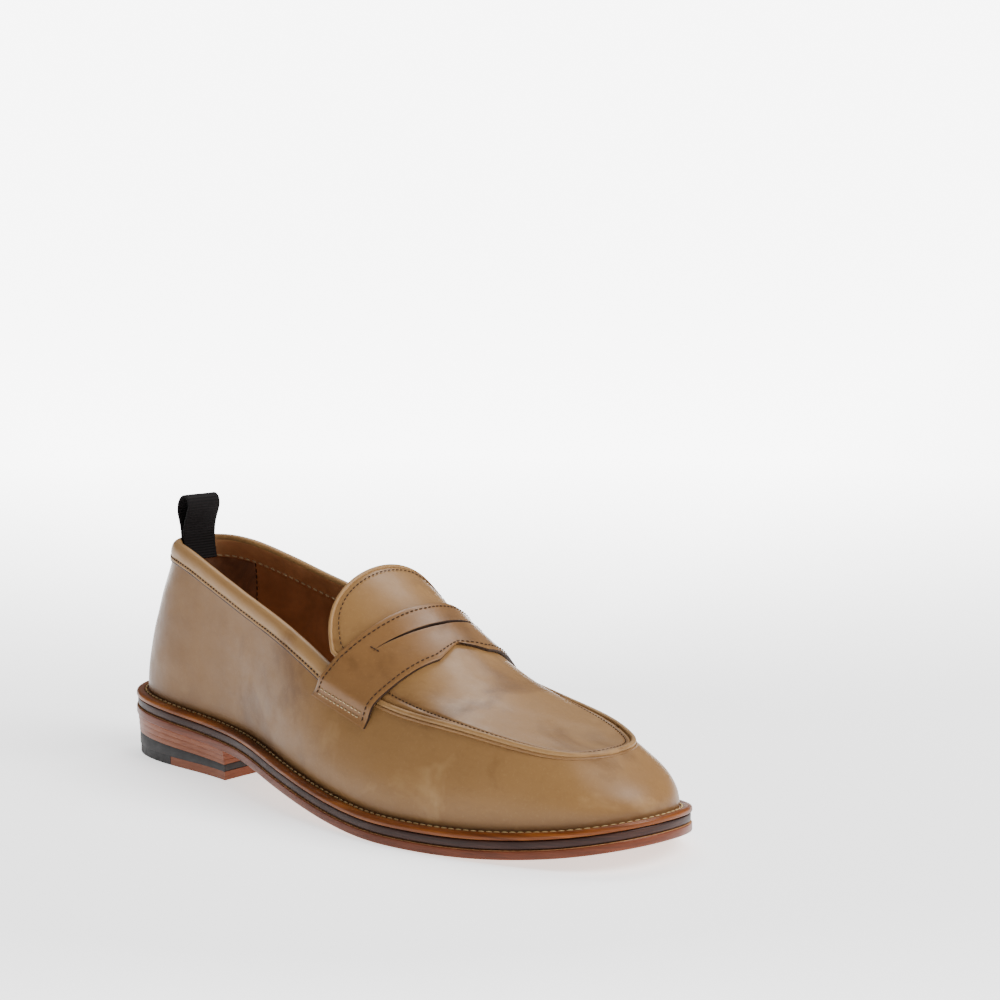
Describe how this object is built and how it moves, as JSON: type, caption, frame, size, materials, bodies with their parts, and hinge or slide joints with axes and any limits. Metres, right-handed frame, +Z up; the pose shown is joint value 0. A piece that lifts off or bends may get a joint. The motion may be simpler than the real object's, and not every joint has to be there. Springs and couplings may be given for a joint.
{
  "type": "penny loafer",
  "caption": "Leather penny loafer, right foot: moccasin apron with raised seam, saddle strap with notch and slit, bound collar, heel pull tab, welted sole and stacked heel.",
  "frame": {"origin": "centre of the bounding box on the ground plane", "axes": "+X from heel to toe, +Y towards the shoe's inner side, +Z up"},
  "size_m": [0.294, 0.1035, 0.1097],
  "materials": {
    "outsole_leather": "smooth, reddish brown edge",
    "midsole_rubber": "dark, matte",
    "welt_leather": "amber brown, waxed",
    "waxed_thread": "cream waxed thread",
    "cork": "pressed cork",
    "shank_steel": "plain spring steel",
    "insole_leather": "natural, uncoated",
    "sock_leather": "smooth, brown",
    "stacked_leather": "polished stacked edge",
    "heel_rubber": "black, matte",
    "burnished_calf": "burnished tan with darker patches, glossy",
    "lining_leather": "amber brown, semi matte",
    "grip_suede": "brown suede",
    "stiffener_board": "pressed fibreboard",
    "grosgrain": "black ribbed ribbon"
  },
  "bodies": {
    "shoe": {"outsole": "outsole_leather", "midsole": "midsole_rubber", "welt": "welt_leather", "welt_thread": "waxed_thread", "cork_filler": "cork", "shank": "shank_steel", "insole": "insole_leather", "sock_liner": "sock_leather", "heel_lift_1": "stacked_leather", "heel_lift_2": "stacked_leather", "heel_lift_3": "stacked_leather", "heel_rubber_lift": "heel_rubber", "heel_top_piece": "stacked_leather", "heel_corner_rubber": "heel_rubber", "upper_wall": "burnished_calf", "apron": "burnished_calf", "apron_lining": "lining_leather", "apron_bead": "burnished_calf", "saddle_strap": "burnished_calf", "collar_binding": "burnished_calf", "heel_grip_lining": "grip_suede", "quarter_lining_lateral": "lining_leather", "quarter_lining_medial": "lining_leather", "vamp_lining": "lining_leather", "heel_counter": "stiffener_board", "toe_puff": "stiffener_board", "pull_tab_anchor": "grosgrain"},
    "tongue": {"tongue": "burnished_calf", "tongue_lining": "lining_leather"},
    "pull_tab": {"pull_tab": "grosgrain"}
  },
  "joints": [
    {"name": "tongue_lift", "type": "hinge", "parent": "shoe", "child": "tongue", "pos_m": [0.01798, 0.00425, 0.0835], "axis": [0, 1, 0], "range_deg": [-4, 15], "stiffness_Nm_per_rad": 0.3},
    {"name": "pull_tab_swing", "type": "hinge", "parent": "shoe", "child": "pull_tab", "pos_m": [-0.12202, 0.00425, 0.0928], "axis": [0, 1, 0], "range_deg": [-40, 55], "stiffness_Nm_per_rad": 0.03}
  ]
}
